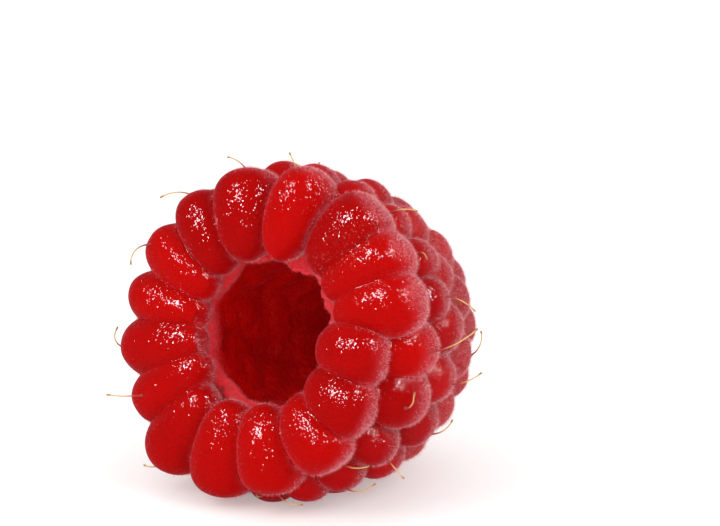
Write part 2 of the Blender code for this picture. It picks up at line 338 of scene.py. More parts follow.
@dataclass
class FruitPlan:
    """Sizes of the fruit and the places of its drupelets, in its own frame.

    The axis is +Y, 0 at the mouth.  The tables repeat those of the solid fruit.
    """

    widest_radius: float = 10.7 * MM
    widest_at: float = 4.8 * MM
    length: float = 19.4 * MM
    tail_drop: float = math.radians(11.5)
    pressed_flat: float = 0.5 * MM
    rim_lean: float = math.radians(18.0)
    rim_half_depth: float = 2.25 * MM
    half_depth: float = 2.7 * MM
    half_length: float = 2.1 * MM
    smallest_half_width: float = 1.75 * MM
    largest_half_width: float = 2.2 * MM
    swell: float = 1.17
    rim_swell: float = 1.36
    place_wander: float = 0.16 * MM
    size_wander: float = 0.05
    seed: int = 11
    # Angle round the mouth, inner radius, outer radius, place along the axis and plumpness.
    rim: tuple[tuple[float, float, float, float, float], ...] = (
        (105, 4.4, 10.2, 2.3, 1.0), (78, 4.7, 10.7, 2.4, 0.76), (52, 5.4, 11.2, 3.0, 1.05),
        (36, 5.2, 11.2, 3.3, 1.2), (19, 5.4, 11.2, 3.3, 1.1), (-1, 4.5, 9.2, 2.5, 1.12),
        (-26, 4.7, 9.4, 2.5, 1.08), (-48, 4.7, 9.8, 2.4, 0.98), (-76, 4.4, 9.9, 2.3, 0.96),
        (-101, 4.4, 10.7, 2.3, 0.98), (-126, 4.8, 11.7, 2.5, 0.95), (-145, 3.9, 10.5, 2.3, 1.1),
        (-166, 3.7, 10.4, 2.2, 1.15), (173, 3.8, 10.0, 2.3, 1.02), (151, 4.0, 10.0, 2.3, 1.02),
        (129, 4.3, 9.9, 2.3, 0.98),
    )
    # Angle, place along the axis and plumpness of the drupelets behind the rim.
    shoulder: tuple[tuple[float, float, float], ...] = (
        (84, 5.0, 1.0), (67, 5.2, 1.0), (53, 6.6, 1.0), (37, 7.2, 1.0), (20, 7.4, 1.0),
        (1, 5.4, 1.2), (-18, 5.4, 1.15), (-38, 5.0, 1.0), (-55, 4.8, 1.0), (-71, 4.8, 1.0),
        (-88, 4.8, 1.0), (-106, 4.8, 1.0), (-126, 5.0, 1.0), (-146, 5.0, 1.0), (-167, 5.0, 1.0),
        (172, 5.0, 1.0), (151, 5.0, 1.0), (132, 5.0, 1.0), (115, 5.0, 1.0), (99, 5.0, 1.0),
    )
    # Angle along the envelope, count and first angle of each row towards the tail.
    rows: tuple[tuple[float, int, float], ...] = (
        (17, 17, -10), (30, 15, -2), (43, 13, 10), (56, 10, -5), (69, 6, 12), (82, 3, 40),
    )
    drupelets: list[list[Drupelet]] = field(default_factory=list)

    def __post_init__(self) -> None:
        """Lay out every drupelet and work out how the fruit lies."""
        chance = random.Random(self.seed)
        self.drupelets = [self._rim_row()]
        self.drupelets.append(self._shoulder_row(chance))
        for row, (along, count, first) in enumerate(self.rows, start=2):
            spacing = 2 * math.pi / count
            self.drupelets.append([
                self._envelope_drupelet((row, place), math.radians(first) + spacing * place,
                                        math.radians(along), spacing, chance)
                for place in range(count)
            ])
        self.placement = self._lie_down()

    def every(self) -> list[Drupelet]:
        """All drupelets in one list, from the mouth to the tail."""
        return [drupelet for row in self.drupelets for drupelet in row]

    def _rim_row(self) -> list[Drupelet]:
        """The long drupelets that stand round the mouth like petals.

        Returns:
            The drupelets, in the order of their angles in the table.
        """
        row = []
        for place, (degrees, inner, outer, at, plumpness) in enumerate(self.rim):
            before = self.rim[place - 1][0]
            after = self.rim[(place + 1) % len(self.rim)][0]
            share = math.radians(((before - after) % 360) / 2)
            angle = math.radians(degrees)
            middle_radius = (inner + outer) / 2 * MM
            lean = Vector((0.0, math.sin(self.rim_lean), 0.0))
            row.append(Drupelet(
                row=0,
                place=place,
                middle=outward(angle) * middle_radius + Vector((0.0, at * MM, 0.0)),
                pole=outward(angle) * math.cos(self.rim_lean) + lean,
                side=round_axis(angle),
                half_width=share * middle_radius / 2 * self.rim_swell * plumpness,
                half_length=self.rim_half_depth,
                half_depth=(outer - inner) / 2 * MM,
                wedge=(outer - inner) / (outer + inner),
            ))
        return row

    def _shoulder_row(self, chance: random.Random) -> list[Drupelet]:
        """The drupelets that sit in the gaps behind the rim.

        Args:
            chance: source of the small natural differences.

        Returns:
            The drupelets, in the order of their angles in the table.
        """
        row = []
        for place, (degrees, at, plumpness) in enumerate(self.shoulder):
            before = self.shoulder[place - 1][0]
            after = self.shoulder[(place + 1) % len(self.shoulder)][0]
            share = math.radians(((before - after) % 360) / 2)
            along = math.asin((at * MM - self.widest_at) / (self.length - self.widest_at))
            plain = self._envelope_drupelet((1, place), math.radians(degrees), along, share, chance)
            row.append(replace(plain, half_width=plain.half_width * plumpness,
                               half_length=plain.half_length * plumpness))
        return row

    def _envelope_drupelet(
        self, name: tuple[int, int], angle: float, along_angle: float, spacing: float,
        chance: random.Random,
    ) -> Drupelet:
        """One drupelet whose outer end touches the fruit's envelope.

        Args:
            name: row and place in the row.
            angle: angle round the axis.
            along_angle: angle along the envelope, 0 at the widest place.
            spacing: angle to the next drupelet of the row.
            chance: source of the small natural differences.

        Returns:
            The drupelet.
        """
        tail_reach = self.length - self.widest_at
        radius = self.widest_radius * math.cos(along_angle)
        slope = Vector((math.cos(along_angle) / self.widest_radius, math.sin(along_angle) / tail_reach))
        slope.normalize()
        pole = outward(angle) * slope.x + Vector((0.0, slope.y, 0.0))
        side = round_axis(angle)
        along = pole.cross(side)
        size = 1 + chance.uniform(-self.size_wander, self.size_wander)
        depth = self.half_depth * size
        reach = Vector((0.0, self.widest_at + tail_reach * math.sin(along_angle), 0.0))
        middle = outward(angle) * radius + reach - pole * depth
        middle += side * chance.uniform(-self.place_wander, self.place_wander)
        middle += along * chance.uniform(-self.place_wander, self.place_wander)
        half_width = spacing * max(radius - self.half_depth / 2, 0.0) / 2 * self.swell
        half_width = min(max(half_width, self.smallest_half_width), self.largest_half_width) * size
        return Drupelet(*name, middle, pole, side, half_width, self.half_length * size, depth)

    def _lie_down(self) -> Matrix:
        """Work out how the fruit lies from the solid fruit's box.

        Returns:
            The matrix from the fruit's own frame to where it lies.
        """
        tilt = Matrix.Rotation(-self.tail_drop, 4, "X")
        lows = []
        highs = []
        for drupelet in self.every():
            ball = tilt @ drupelet.matrix()
            reach = Vector(ball[axis].xyz.length for axis in range(3))
            lows.append(ball.translation - reach)
            highs.append(ball.translation + reach)
        low = Vector(min(corner[axis] for corner in lows) for axis in range(3))
        high = Vector(max(corner[axis] for corner in highs) for axis in range(3))
        cad_low, cad_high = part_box("fruit")
        shift = (Vector(cad_low) + Vector(cad_high)) / 2 - (low + high) / 2
        shift.z = -low.z - self.pressed_flat
        return Matrix.Translation(shift) @ tilt


# --------------------------------------------------------------------------
# Finishes
# --------------------------------------------------------------------------


@dataclass(frozen=True)
class SkinFinish:
    """Living fruit skin: a thin clear film over red juice, dulled where down grows.

    It gives the eye a wet gloss that breaks into sparks, a glow from light scattered
    inside the flesh with a painted glow added, and pale velvet where the down is thick.
    """

    name: str
    ripe: str
    deep: str
    down: str
    gloss: float
    dull: float
    sheen: float
    glow: float
    paleness: float
    # Sizes of its patterns in millimetres: clouds in the juice, swells of the skin, tufts of
    # down, specks of dust and the nap of the down.
    cloud_size: float = 1 / 0.55
    swell_size: float = 1 / 1.8
    swell_depth: float = 0.03
    tuft_size: float = 1 / 4.2
    speck_size: float = 1 / 5.5
    nap_size: float = 1 / 9.0
    nap_height: float = 0.07
    # The skin's real grain is finer.  It is as coarse as it has to be to show as sparks.
    facet_size: float = 0.07
    facet_tilt: float = 0.75
    # Thinnest down, as a share of a full tuft.
    haze: float = 0.25
    # Painted glow: light that the skin emits in place of daylight through the flesh, on bare skin and
    # under the thickest down.
    painted_glow_bare: float = 0.0
    painted_glow_downy: float = 0.0
    dust: str = "#9A7468"
    sheen_tint: str = "#FF8494"
    # Colour of the painted glow.
    painted_glow_colour: str = "#F01418"
    juice_reach: tuple[float, float, float] = (1.0, 0.12, 0.10)
    juice_depth: float = 0.9 * MM

    def make(self) -> bpy.types.Material:
        """Build the material.

        Returns:
            The finished material.
        """
        material = empty_material(self.name)
        tree = material.node_tree
        point = place_in_mm(tree)
        cover = self._cover(tree, point)
        thin = add_node(tree, "ShaderNodeMath", {"operation": "MULTIPLY"}, {0: cover, 1: self.paleness})
        velvet = add_node(tree, "ShaderNodeMix", {"data_type": "RGBA"}, {
            "Factor": thin.outputs["Value"],
            COLOUR_A: self._flesh(tree, point),
            COLOUR_B: linear(self.down),
        })
        colour = add_node(tree, "ShaderNodeMix", {"data_type": "RGBA"}, {
            "Factor": self._soiled(tree, point),
            COLOUR_A: velvet.outputs[COLOUR_OUT],
            COLOUR_B: linear(self.dust),
        })
        roughness = add_node(tree, "ShaderNodeMapRange", inputs={
            "Value": cover, "To Min": self.gloss, "To Max": self.dull})
        # Painted glow: the skin emits a little light, more where the down lies thick.
        painted_glow = add_node(tree, "ShaderNodeMapRange", inputs={
            "Value": cover, "To Min": self.painted_glow_bare, "To Max": self.painted_glow_downy})
        shader = add_node(tree, "ShaderNodeBsdfPrincipled", inputs={
            "Base Color": colour.outputs[COLOUR_OUT],
            "Roughness": roughness.outputs["Result"],
            "IOR": 1.42,
            "Subsurface Weight": self.glow,
            "Subsurface Radius": self.juice_reach,
            "Subsurface Scale": self.juice_depth,
            "Sheen Weight": self.sheen,
            "Sheen Roughness": 0.3,
            "Sheen Tint": linear(self.sheen_tint),
            "Emission Color": linear(self.painted_glow_colour),
            "Emission Strength": painted_glow.outputs["Result"],
            "Normal": self._relief(tree, point, cover),
        })
        add_node(tree, "ShaderNodeOutputMaterial", inputs={"Surface": shader.outputs["BSDF"]})
        return material

    def _flesh(self, tree: bpy.types.NodeTree, point: bpy.types.NodeSocket) -> bpy.types.NodeSocket:
        """Red of the flesh, cloudy within a drupelet and a little different from one to the next.

        Args:
            tree: the material's nodes.
            point: place on the fruit in millimetres.

        Returns:
            The colour.
        """
        cloud = add_node(tree, "ShaderNodeTexNoise", inputs={
            "Vector": point, "Scale": 1 / self.cloud_size, "Detail": 3.0})
        uneven = add_node(tree, "ShaderNodeMapRange", {"clamp": False}, {
            "Value": cloud.outputs["Fac"], "To Min": -0.35, "To Max": 0.35})
        tone = add_node(tree, "ShaderNodeAttribute", {"attribute_name": "tone"})
        shade = add_node(tree, "ShaderNodeMath", {"operation": "ADD"}, {
            0: tone.outputs["Fac"], 1: uneven.outputs["Result"]})
        red = add_node(tree, "ShaderNodeMix", {"data_type": "RGBA"}, {
            "Factor": shade.outputs["Value"],
            COLOUR_A: linear(self.ripe),
            COLOUR_B: linear(self.deep),
        })
        return red.outputs[COLOUR_OUT]

    def _cover(self, tree: bpy.types.NodeTree, point: bpy.types.NodeSocket) -> bpy.types.NodeSocket:
        """How thick the down lies: a thin haze, with denser tufts in it.

        Args:
            tree: the material's nodes.
            point: place on the fruit in millimetres.

        Returns:
            A share from 0 to 1.
        """
        down = add_node(tree, "ShaderNodeAttribute", {"attribute_name": "down"})
        fibres = add_node(tree, "ShaderNodeTexNoise", inputs={
            "Vector": point,
            "Scale": 1 / self.tuft_size,
            "Detail": 6.0,
            "Roughness": 0.72,
            "Distortion": 0.6,
        })
        tufts = add_node(tree, "ShaderNodeMapRange", inputs={
            "Value": fibres.outputs["Fac"],
            "From Min": 0.36,
            "From Max": 0.62,
            "To Min": self.haze,
            "To Max": 1 + self.haze,
        })
        cover = add_node(tree, "ShaderNodeMath", {"operation": "MULTIPLY", "use_clamp": True}, {
            0: down.outputs["Fac"], 1: tufts.outputs["Result"]})
        return cover.outputs["Value"]

    def _soiled(self, tree: bpy.types.NodeTree, point: bpy.types.NodeSocket) -> bpy.types.NodeSocket:
        """Where specks of dry dust stick to the skin.

        Args:
            tree: the material's nodes.
            point: place on the fruit in millimetres.

        Returns:
            A share from 0 to 1.
        """
        dust = add_node(tree, "ShaderNodeAttribute", {"attribute_name": "dust"})
        specks = add_node(tree, "ShaderNodeTexNoise", inputs={
            "Vector": point, "Scale": 1 / self.speck_size, "Detail": 4.0, "Roughness": 0.7})
        spots = add_node(tree, "ShaderNodeMapRange", inputs={
            "Value": specks.outputs["Fac"], "From Min": 0.58, "From Max": 0.72})
        soiled = add_node(tree, "ShaderNodeMath", {"operation": "MULTIPLY"}, {
            0: spots.outputs["Result"], 1: dust.outputs["Fac"]})
        return soiled.outputs["Value"]

    def _relief(
        self, tree: bpy.types.NodeTree, point: bpy.types.NodeSocket, cover: bpy.types.NodeSocket
    ) -> bpy.types.NodeSocket:
        """Faint swells, the nap of the down, and tiny facets that break the gloss into sparks.

        Args:
            tree: the material's nodes.
            point: place on the fruit in millimetres.
            cover: how thick the down lies.

        Returns:
            The bent normal.
        """
        swells = add_node(tree, "ShaderNodeTexNoise", inputs={
            "Vector": point, "Scale": 1 / self.swell_size, "Detail": 2.0})
        wavy = add_node(tree, "ShaderNodeBump", inputs={
            "Height": swells.outputs["Fac"], "Strength": 1.0, "Distance": self.swell_depth * MM})
        nap = add_node(tree, "ShaderNodeTexNoise", inputs={
            "Vector": point, "Scale": 1 / self.nap_size, "Detail": 4.0, "Roughness": 0.7})
        felt = add_node(tree, "ShaderNodeMath", {"operation": "MULTIPLY"}, {
            0: nap.outputs["Fac"], 1: cover})
        matted = add_node(tree, "ShaderNodeBump", inputs={
            "Height": felt.outputs["Value"],
            "Strength": 1.0,
            "Distance": self.nap_height * MM,
            "Normal": wavy.outputs["Normal"],
        })
        facets = add_node(tree, "ShaderNodeTexVoronoi", inputs={
            "Vector": point, "Scale": 1 / self.facet_size, "Randomness": 1.0})
        calm = add_node(tree, "ShaderNodeTexNoise", inputs={
            "Vector": point, "Scale": 1 / (2.5 * self.facet_size), "Detail": 1.0})
        strength = add_node(tree, "ShaderNodeMapRange", inputs={
            "Value": calm.outputs["Fac"], "From Min": 0.35, "From Max": 0.65,
            "To Min": 0.15 * self.facet_tilt, "To Max": self.facet_tilt})
        middle = add_node(tree, "ShaderNodeVectorMath", {"operation": "SUBTRACT"}, {
            0: facets.outputs["Color"], 1: (0.5, 0.5, 0.5)})
        tilt = add_node(tree, "ShaderNodeVectorMath", {"operation": "SCALE"}, {
            0: middle.outputs["Vector"], "Scale": strength.outputs["Result"]})
        bent = add_node(tree, "ShaderNodeVectorMath", {"operation": "ADD"}, {
            0: matted.outputs["Normal"], 1: tilt.outputs["Vector"]})
        unit = add_node(tree, "ShaderNodeVectorMath", {"operation": "NORMALIZE"}, {
            0: bent.outputs["Vector"]})
        return unit.outputs["Vector"]


@dataclass(frozen=True)
class StyleFinish:
    """Dead plant thread: a dry straw colour, red where it still joins the fruit."""

    name: str = "dry_style"
    root: str = "#A81A16"
    straw: str = "#DDB268"
    tip: str = "#9A6A3C"
    # Shares of the length: where the red ends, and where the straw colour starts and ends.
    red_to: float = 0.24
    straw_from: float = 0.52
    straw_to: float = 0.86
    # Size in millimetres of the streaks along a dried thread.
    streak_size: float = 1 / 6.0
    ridge_height: float = 0.01

    def make(self) -> bpy.types.Material:
        """Build the material.

        Returns:
            The finished material.
        """
        material = empty_material(self.name)
        tree = material.node_tree
        along = add_node(tree, "ShaderNodeAttribute", {"attribute_name": "along"}).outputs["Fac"]
        ramp = add_node(tree, "ShaderNodeValToRGB", inputs={"Fac": along})
        stops = ramp.color_ramp.elements
        stops[0].position, stops[0].color = self.red_to, linear(self.root)
        stops[1].position, stops[1].color = 1.0, linear(self.tip)
        for position in (self.straw_from, self.straw_to):
            stops.new(position).color = linear(self.straw)
        streaks = add_node(tree, "ShaderNodeTexNoise", inputs={
            "Vector": place_in_mm(tree), "Scale": 1 / self.streak_size, "Detail": 3.0})
        colour = add_node(tree, "ShaderNodeMix", {"data_type": "RGBA", "blend_type": "MULTIPLY"}, {
            "Factor": 0.2, COLOUR_A: ramp.outputs["Color"], COLOUR_B: streaks.outputs["Color"]})
        ridges = add_node(tree, "ShaderNodeBump", inputs={
            "Height": streaks.outputs["Fac"], "Strength": 0.6, "Distance": self.ridge_height * MM})
        shader = add_node(tree, "ShaderNodeBsdfPrincipled", inputs={
            "Base Color": colour.outputs[COLOUR_OUT],
            "Roughness": 0.55,
            "Sheen Weight": 0.15,
            "Normal": ridges.outputs["Normal"],
        })
        add_node(tree, "ShaderNodeOutputMaterial", inputs={"Surface": shader.outputs["BSDF"]})
        return material


@dataclass(frozen=True)
class DownFinish:
    """Plant down: fine hairs that catch light as a soft haze over the red."""

    name: str
    colour: str

    def make(self) -> bpy.types.Material:
        """Build the material.

        Returns:
            The finished material.
        """
        material = empty_material(self.name)
        tree = material.node_tree
        shader = add_node(tree, "ShaderNodeBsdfPrincipled", inputs={
            "Base Color": linear(self.colour),
            "Roughness": 0.6,
            "Sheen Weight": 0.3,
        })
        add_node(tree, "ShaderNodeOutputMaterial", inputs={"Surface": shader.outputs["BSDF"]})
        return material


@dataclass(frozen=True)
class SweepFinish:
    """Milky plastic sheet lit a little from below: shadows stay faint, and it hardly mirrors."""

    name: str = "light_table"
    white: str = "#E2E1E0"
    mirrored: str = "#464242"
    from_below: float = 0.3

    def make(self) -> bpy.types.Material:
        """Build the material.

        Returns:
            The finished material.
        """
        material = empty_material(self.name)
        tree = material.node_tree
        ray = add_node(tree, "ShaderNodeLightPath")
        colour = add_node(tree, "ShaderNodeMix", {"data_type": "RGBA"}, {
            "Factor": ray.outputs["Is Glossy Ray"],
            COLOUR_A: linear(self.white),
            COLOUR_B: linear(self.mirrored),
        })
        glow = add_node(tree, "ShaderNodeMapRange", inputs={
            "Value": ray.outputs["Is Glossy Ray"], "To Min": self.from_below, "To Max": 0.0})
        milky = add_node(tree, "ShaderNodeBsdfDiffuse", inputs={"Color": colour.outputs[COLOUR_OUT]})
        lit = add_node(tree, "ShaderNodeEmission", inputs={"Strength": glow.outputs["Result"]})
        both = add_node(tree, "ShaderNodeAddShader", inputs={
            0: milky.outputs["BSDF"], 1: lit.outputs["Emission"]})
        add_node(tree, "ShaderNodeOutputMaterial", inputs={"Surface": both.outputs["Shader"]})
        return material


# --------------------------------------------------------------------------
# Sub-assemblies
# --------------------------------------------------------------------------


@dataclass
class FruitSkin:
    """The whole skin of the fruit, outside and in, as one closed surface."""

    plan: FruitPlan
    finishes: tuple[SkinFinish, ...]
    # Subdivisions of a drupelet, and the rows from the mouth on that have one more.
    fineness: int = 4
    fine_rows: int = 2
    flesh_inset: float = 1.7 * MM
    flesh_starts_at: float = 3.0 * MM
    # How full a drupelet is across, and from end to end: 2 is an ellipsoid, more is fuller.
    cross_section: float = 2.1
    rim_stretch: float = 2.35
    row_stretch: float = 2.25
    unevenness: float = 0.035
    # Place along the axis and radius of the hollow that the core left.
    hollow: tuple[tuple[float, float], ...] = (
        (-1.0, 4.3), (1.5, 4.0), (2.8, 4.3), (3.6, 4.8), (5.0, 4.9), (8.0, 4.5), (10.0, 3.9),
        (13.0, 3.0), (15.0, 2.0), (16.2, 0.9),
    )
    core_step: float = 0.3 * MM
    core_turns: int = 110
    # Inner ends of the drupelets that dent the wall, its grain, and the ragged lip.
    lobe_width: float = 2.0 * MM
    lobe_height: float = 0.7 * MM
    lobe_lift: float = 0.3
    wall_roughness: float = 0.15 * MM
    wall_grain: float = 0.7 * MM
    torn_at: float = 3.1 * MM
    torn_width: float = 1.8 * MM
    torn_height: float = 0.2 * MM
    torn_grain: float = 0.42 * MM
    # What counts as the hollow's wall, and how wide its torn lip is.
    hollow_ends_at: float = 17.2 * MM
    wall_depth: float = 1.0 * MM
    wall_fade: float = 0.4 * MM
    wall_starts: Fade = Fade(2.4 * MM, 0.8 * MM)
    lip_width: float = 1.7 * MM
    # Where down grows: on skin turned from the mouth, in folds, on rear rows and on outer ends. On skin
    # turned from the mouth and on up-facing outer ends the pale down is partly real and partly painted
    # sheen.
    turned_away: Fade = Fade(-0.42, 0.75, 0.85)
    folded: Fade = Fade(-0.75, 0.9)
    rear_rows: Fade = Fade(1.5, 2.0, 0.75)
    outer_ends: Fade = Fade(0.66, 0.34, 0.85)
    ends_facing_up: Fade = Fade(-0.3, 0.9)
    # Folds of the rim that face the mouth's side have the pink down of the lip.
    pink_folds: Fade = Fade(-0.2, 0.5)
    crease_reach: float = 0.55 * MM
    valley_width: float = 0.45 * MM
    valley_steps: int = 10
    valley_pull: float = 0.5
    # The block that flattens the soft underside.
    block_size: float = 60.0 * MM
    dust_reach: float = 1.8 * MM
    # Places in the rim of the two dusty drupelets, and row and place of wet ones behind the rim.
    dusty_pair: tuple[int, int] = (2, 3)
    wet_behind_rim: tuple[tuple[int, int], ...] = ((1, 5), (1, 6))
    sharp_from: float = 38.0
    piece: bpy.types.Object | None = None

    def build(self) -> bpy.types.Object:
        """Swell the drupelets together, hollow the fruit and lay it down.

        Returns:
            The finished piece.
        """
        plain = Workbench.ball(self.fineness, "plain_drupelet")
        fine = Workbench.ball(self.fineness + 1, "fine_drupelet")
        balls = [
            self._swell(fine if drupelet.row < self.fine_rows else plain, drupelet)
            for drupelet in self.plan.every()
        ]
        for master in (plain, fine):
            bpy.data.objects.remove(master, do_unlink=True)
        crop = Workbench.unite_all(balls)
        skin = Workbench.combine(crop, self._flesh(), "UNION")
        skin = Workbench.combine(skin, self._core(), "DIFFERENCE")
        skin.data.transform(self.plan.placement)
        skin = Workbench.combine(skin, self._floor_block(), "DIFFERENCE")
        skin.name = "raspberry_skin"
        skin.data.materials.clear()
        for _ in self.finishes:
            skin.data.materials.append(None)
        self.piece = skin
        self._map_skin()
        self._round_valleys()
        Workbench.finish_smooth(skin, self.sharp_from)
        return skin

    def dress(self) -> None:
        """Give each drupelet its skin, let the piece ride on the fruit and hide the solid fruit."""
        for slot, finish in enumerate(self.finishes):
            self.piece.data.materials[slot] = finish.make()
        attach(self.piece, BODY)
        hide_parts("fruit")

    def shape_share(self, points: np.ndarray, drupelet: Drupelet) -> np.ndarray:
        """How far out points lie in a drupelet: 1 on its skin, less inside.

        Args:
            points: points in the drupelet's own frame, as shares of its half sizes.
            drupelet: the drupelet.

        Returns:
            One number for each point.
        """
        around = self.cross_section
        stretch = self.rim_stretch if drupelet.row == 0 else self.row_stretch
        spread = np.abs(points)
        spread[:, :2] /= 1 + drupelet.wedge * WEDGE_WAYS * np.clip(points[:, 2:], -1.0, 1.0)
        ring = (spread[:, 0] ** around + spread[:, 1] ** around) ** (1 / around)
        return (ring ** stretch + spread[:, 2] ** stretch) ** (1 / stretch)

    def _swell(self, master: bpy.types.Object, drupelet: Drupelet) -> bpy.types.Object:
        """One drupelet, full and a little uneven.

        Args:
            master: the unit ball that every drupelet starts from.
            drupelet: its place and size.

        Returns:
            The drupelet in the fruit's own frame.
        """
        thing = Workbench.copy_of(master, "drupelet")
        mesh = thing.data
        points = np.empty(len(mesh.vertices) * 3)
        mesh.vertices.foreach_get("co", points)
        points = points.reshape(-1, 3)
        points /= self.shape_share(points, replace(drupelet, wedge=0.0))[:, None]
        points[:, :2] *= 1 + drupelet.wedge * WEDGE_WAYS * points[:, 2:]
        salt = Vector((drupelet.row * 7.1, drupelet.place * 3.7, 0.0))
        bumps = [noise.noise(Vector(point) * 1.15 + salt) for point in points]
        points *= 1 + self.unevenness * np.array(bumps)[:, None]
        mesh.vertices.foreach_set("co", points.ravel())
        mesh.transform(drupelet.matrix())
        return thing

    def _flesh(self) -> bpy.types.Object:
        """The flesh that fills the fruit under the creases.

        Returns:
            The flesh in the fruit's own frame.
        """
        thing = Workbench.ball(self.fineness + 1, "flesh")
        plan = self.plan
        radius = plan.widest_radius - self.flesh_inset
        tail_reach = plan.length - plan.widest_at - self.flesh_inset
        mouth_reach = plan.widest_at - self.flesh_starts_at
        for vertex in thing.data.vertices:
            right, along, up = vertex.co
            reach = tail_reach if along > 0 else mouth_reach
            vertex.co = (right * radius, plan.widest_at + along * reach, up * radius)
        return thing

    def _core(self) -> bpy.types.Object:
        """The space of the core: a disc pulled in steps to the tail, then dented all round.

        Returns:
            The core in the fruit's own frame.
        """
        first_at, _ = self.hollow[0]
        last_at, _ = self.hollow[-1]
        places = np.arange(first_at * MM, last_at * MM, self.core_step)
        radii = self.hollow_radius(places)
        bpy.ops.object.select_all(action="DESELECT")
        bpy.ops.mesh.primitive_circle_add(
            vertices=self.core_turns, radius=radii[0], fill_type="NGON",
            location=(0.0, places[0], 0.0), rotation=(math.radians(90.0), 0.0, 0.0))
        core = bpy.context.active_object
        bpy.ops.object.transform_apply(location=True, rotation=True, scale=True)
        bpy.ops.object.mode_set(mode="EDIT")
        bpy.ops.mesh.select_all(action="SELECT")
        for number in range(1, len(places)):
            bpy.ops.mesh.extrude_region_move(
                TRANSFORM_OT_translate={"value": (0.0, self.core_step, 0.0)})
            shrink = radii[number] / radii[number - 1]
            bpy.ops.transform.resize(value=(shrink, 1.0, shrink),
                                     center_override=(0.0, places[number], 0.0))
        bpy.ops.mesh.select_all(action="SELECT")
        bpy.ops.mesh.quads_convert_to_tris()
        bpy.ops.mesh.normals_make_consistent(inside=False)
        bpy.ops.object.mode_set(mode="OBJECT")
        for vertex in core.data.vertices:
            vertex.co = self._dent(vertex.co)
        return core

    def hollow_radius(self, at: float | np.ndarray) -> float | np.ndarray:
        """Radius of the hollow.

        Args:
            at: one place along the axis, or many.

        Returns:
            The radius at each place.
        """
        places = [step[0] * MM for step in self.hollow]
        radii = [step[1] * MM for step in self.hollow]
        return np.interp(at, places, radii)

    def _dent(self, point: Vector) -> Vector:
        """Push a point of the core in where the inner end of a drupelet stands.

        Args:
            point: a point on the smooth core.

        Returns:
            The point on the dented core.
        """
        radius = math.hypot(point.x, point.z)
        off_middle = noise.voronoi(point / self.lobe_width)[0][0]
        height = self.lobe_height * (self.lobe_lift - off_middle * off_middle)
        height += self.wall_roughness * noise.noise(point / self.wall_grain)
        torn = max(0.0, 1 - abs(point.y - self.torn_at) / self.torn_width)
        height += torn * self.torn_height * noise.noise(point / self.torn_grain)
        share = (radius - height) / radius
        return Vector((point.x * share, point.y, point.z * share))

    def _floor_block(self) -> bpy.types.Object:
        """A block under the floor, which flattens the soft underside.

        Returns:
            The block, its top level with the floor.
        """
        side = self.block_size
        bpy.ops.object.select_all(action="DESELECT")
        bpy.ops.mesh.primitive_cube_add(size=side, location=(0.0, 0.0, -side / 2))
        bpy.ops.object.transform_apply(location=True, rotation=True, scale=True)
        return bpy.context.active_object

    def _map_skin(self) -> None:
        """Mark on every point how downy, how dark and how dusty the skin is there."""
        mesh = self.piece.data
        local, front, upward = self._in_own_frame(mesh)
        gaps = self._gaps(local)
        order = np.argsort(gaps, axis=0)
        own, beside = order[0], order[1]
        valley = gaps[beside, np.arange(len(local))]
        wall, lip = self._wall_and_lip(local)
        rows = np.array([drupelet.row for drupelet in self.plan.every()])[own]
        folds = smooth_step(1 - valley / self.crease_reach) * self.folded.of(-front)
        lip = np.maximum(lip, folds * (rows == 0) * self.pink_folds.of(front))
        # Pale down here is partly real down and partly painted sheen, on skin turned from the mouth and
        # on up-facing outer ends.
        down = np.maximum.reduce([
            self.turned_away.of(-front),
            folds,
            self.rear_rows.of(rows),
            self._down_and_painted_sheen_on_ends(local, upward, own),
        ])
        tones = np.array([random.Random(number).random() for number in range(len(gaps))])
        dusty = np.isin(own, self.dusty_pair) & np.isin(beside, self.dusty_pair)
        Workbench.write_attribute(mesh, "down", np.maximum(down * (1 - wall), lip))
        Workbench.write_attribute(mesh, "lip", lip)
        Workbench.write_attribute(mesh, "valley", smooth_step(1 - valley / self.valley_width))
        Workbench.write_attribute(mesh, "tone", tones[own])
        Workbench.write_attribute(mesh, "dust", smooth_step(1 - valley / self.dust_reach) * dusty)
        self._lay_skins(mesh, wall, own)

    def _in_own_frame(self, mesh: bpy.types.Mesh) -> tuple[np.ndarray, np.ndarray, np.ndarray]:
        """Where the skin's points lie in the fruit's own frame, and which way they face.

        Args:
            mesh: the skin's mesh, where the fruit lies.

        Returns:
            The places, how far each faces out of the mouth, and how far each faces up.
        """
        back = np.array(self.plan.placement.inverted())
        places = np.empty(len(mesh.vertices) * 3)
        mesh.vertices.foreach_get("co", places)
        facing = np.empty(len(mesh.vertices) * 3)
        mesh.vertex_normals.foreach_get("vector", facing)
        facing = facing.reshape(-1, 3)
        local = places.reshape(-1, 3) @ back[:3, :3].T + back[:3, 3]
        front = -(facing @ back[:3, :3].T)[:, 1]
        return local, front, facing[:, 2]

    def _gaps(self, local: np.ndarray) -> np.ndarray:
        """How far points lie outside each drupelet, less than 0 inside it.

        Args:
            local: the skin's points in the fruit's own frame.

        Returns:
            A row for each drupelet and a column for each point.
        """
        drupelets = self.plan.every()
        gaps = np.empty((len(drupelets), len(local)))
        for number, drupelet in enumerate(drupelets):
            undo = np.array(drupelet.matrix().inverted())
            shrunk = local @ undo[:3, :3].T + undo[:3, 3]
            share = np.maximum(self.shape_share(shrunk, drupelet), 1e-6)
            distance = np.linalg.norm(local - np.array(drupelet.middle), axis=1)
            gaps[number] = distance * (1 - 1 / share)
        return gaps

    def _wall_and_lip(self, local: np.ndarray) -> tuple[np.ndarray, np.ndarray]:
        """How far points belong to the hollow's wall, and to its torn lip.

        Args:
            local: the skin's points in the fruit's own frame.

        Returns:
            Two arrays of shares from 0 to 1.
        """
        along = local[:, 1]
        from_axis = np.hypot(local[:, 0], local[:, 2])
        reach = self.hollow_radius(along) + self.wall_depth
        inside = smooth_step((reach - from_axis) / self.wall_fade)
        inside *= smooth_step((self.hollow_ends_at - along) / self.wall_fade)
        lip = inside * (1 - smooth_step(np.abs(along - self.torn_at) / self.lip_width))
        return inside * self.wall_starts.of(along), lip

